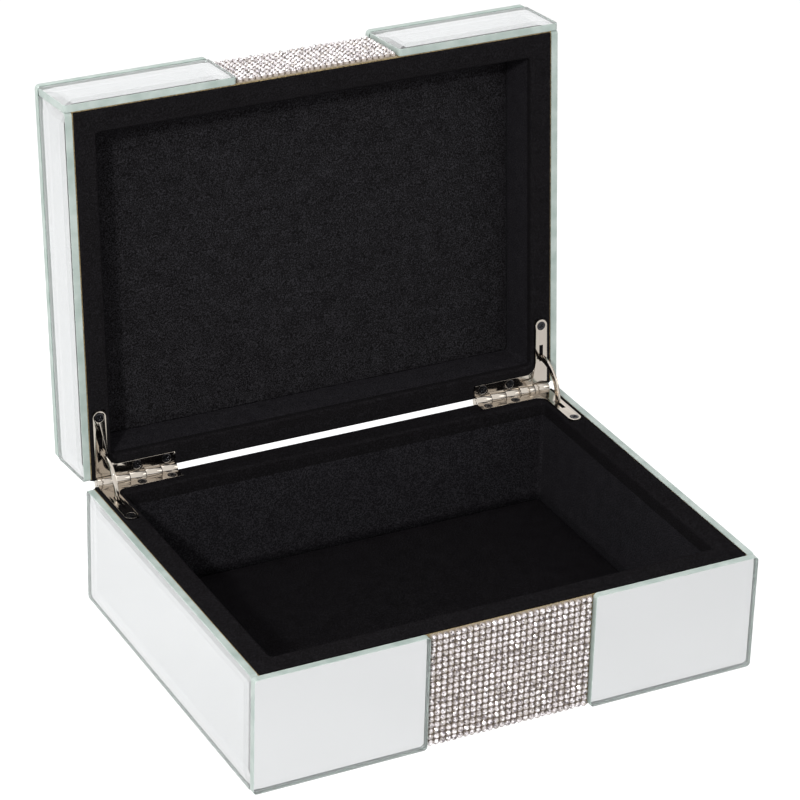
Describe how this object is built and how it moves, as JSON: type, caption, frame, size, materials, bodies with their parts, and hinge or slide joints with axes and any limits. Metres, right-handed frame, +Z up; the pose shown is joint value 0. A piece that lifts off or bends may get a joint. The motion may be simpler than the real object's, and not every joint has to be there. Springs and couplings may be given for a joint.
{
  "type": "mirrored trinket box",
  "caption": "Rectangular bevelled-mirror trinket box with a rhinestone band, black velvet lining and a hinged lid held open by corner stay hinges.",
  "frame": {"origin": "centre of the base's footprint, on the surface that the box stands on", "axes": "+Z up, +X to the right, the front with the rhinestone band faces -Y; the lid stands open at the back"},
  "size_m": [0.2, 0.188, 0.1931],
  "materials": {
    "mirror_glass": "bevelled mirror glass with green-grey ground edges",
    "fibreboard": "bare fibreboard edges",
    "rhinestones": "faceted clear stones in silver cups",
    "screw_steel": "dark plated cross-recess screws",
    "nickel": "bright nickel plate on pressed steel",
    "felt": "black pressed felt",
    "velvet": "black flocked velvet"
  },
  "bodies": {
    "base": {"base_front_board": "fibreboard", "base_back_board": "fibreboard", "base_left_board": "fibreboard", "base_right_board": "fibreboard", "base_bottom_board": "fibreboard", "base_felt": "felt", "base_back_cover": "velvet", "base_velvet_lining": "velvet", "base_floor_pad": "velvet", "base_mirror_front_left": "mirror_glass", "base_mirror_front_right": "mirror_glass", "base_mirror_left": "mirror_glass", "base_mirror_right": "mirror_glass", "base_crystal_band": "rhinestones", "base_leaf_left": "nickel", "base_leaf_right": "nickel", "hinge_pin_left": "nickel", "hinge_pin_right": "nickel", "base_leaf_screws_left": "screw_steel", "base_leaf_screws_right": "screw_steel"},
    "lid": {"lid_front_board": "fibreboard", "lid_back_board": "fibreboard", "lid_left_board": "fibreboard", "lid_right_board": "fibreboard", "lid_top_board": "fibreboard", "lid_back_cover": "velvet", "lid_velvet_lining": "velvet", "lid_ceiling_pad": "velvet", "lid_mirror_front_left": "mirror_glass", "lid_mirror_front_right": "mirror_glass", "lid_mirror_left": "mirror_glass", "lid_mirror_right": "mirror_glass", "lid_mirror_top_left": "mirror_glass", "lid_mirror_top_right": "mirror_glass", "lid_crystal_band_front": "rhinestones", "lid_crystal_band_top": "rhinestones", "lid_leaf_left": "nickel", "lid_leaf_right": "nickel", "lid_leaf_screws_left": "screw_steel", "lid_leaf_screws_right": "screw_steel"},
    "stay_left": {"stay_left": "nickel"},
    "stay_right": {"stay_right": "nickel"}
  },
  "joints": [
    {"name": "lid_hinge", "type": "hinge", "parent": "base", "child": "lid", "pos_m": [0, 0.0742, 0.0469], "axis": [1, 0, 0], "range_deg": [0, 95]},
    {"name": "stay_left_slide", "type": "hinge", "parent": "base", "child": "stay_left", "pos_m": [0, 0.0742, 0.0469], "axis": [1, 0, 0], "range_deg": [0, 47.5]},
    {"name": "stay_right_slide", "type": "hinge", "parent": "base", "child": "stay_right", "pos_m": [0, 0.0742, 0.0469], "axis": [1, 0, 0], "range_deg": [0, 47.5]}
  ],
  "couplings": [
    {"joint": "stay_left_slide", "follows": "lid_hinge", "ratio": 0.5},
    {"joint": "stay_right_slide", "follows": "lid_hinge", "ratio": 0.5}
  ]
}
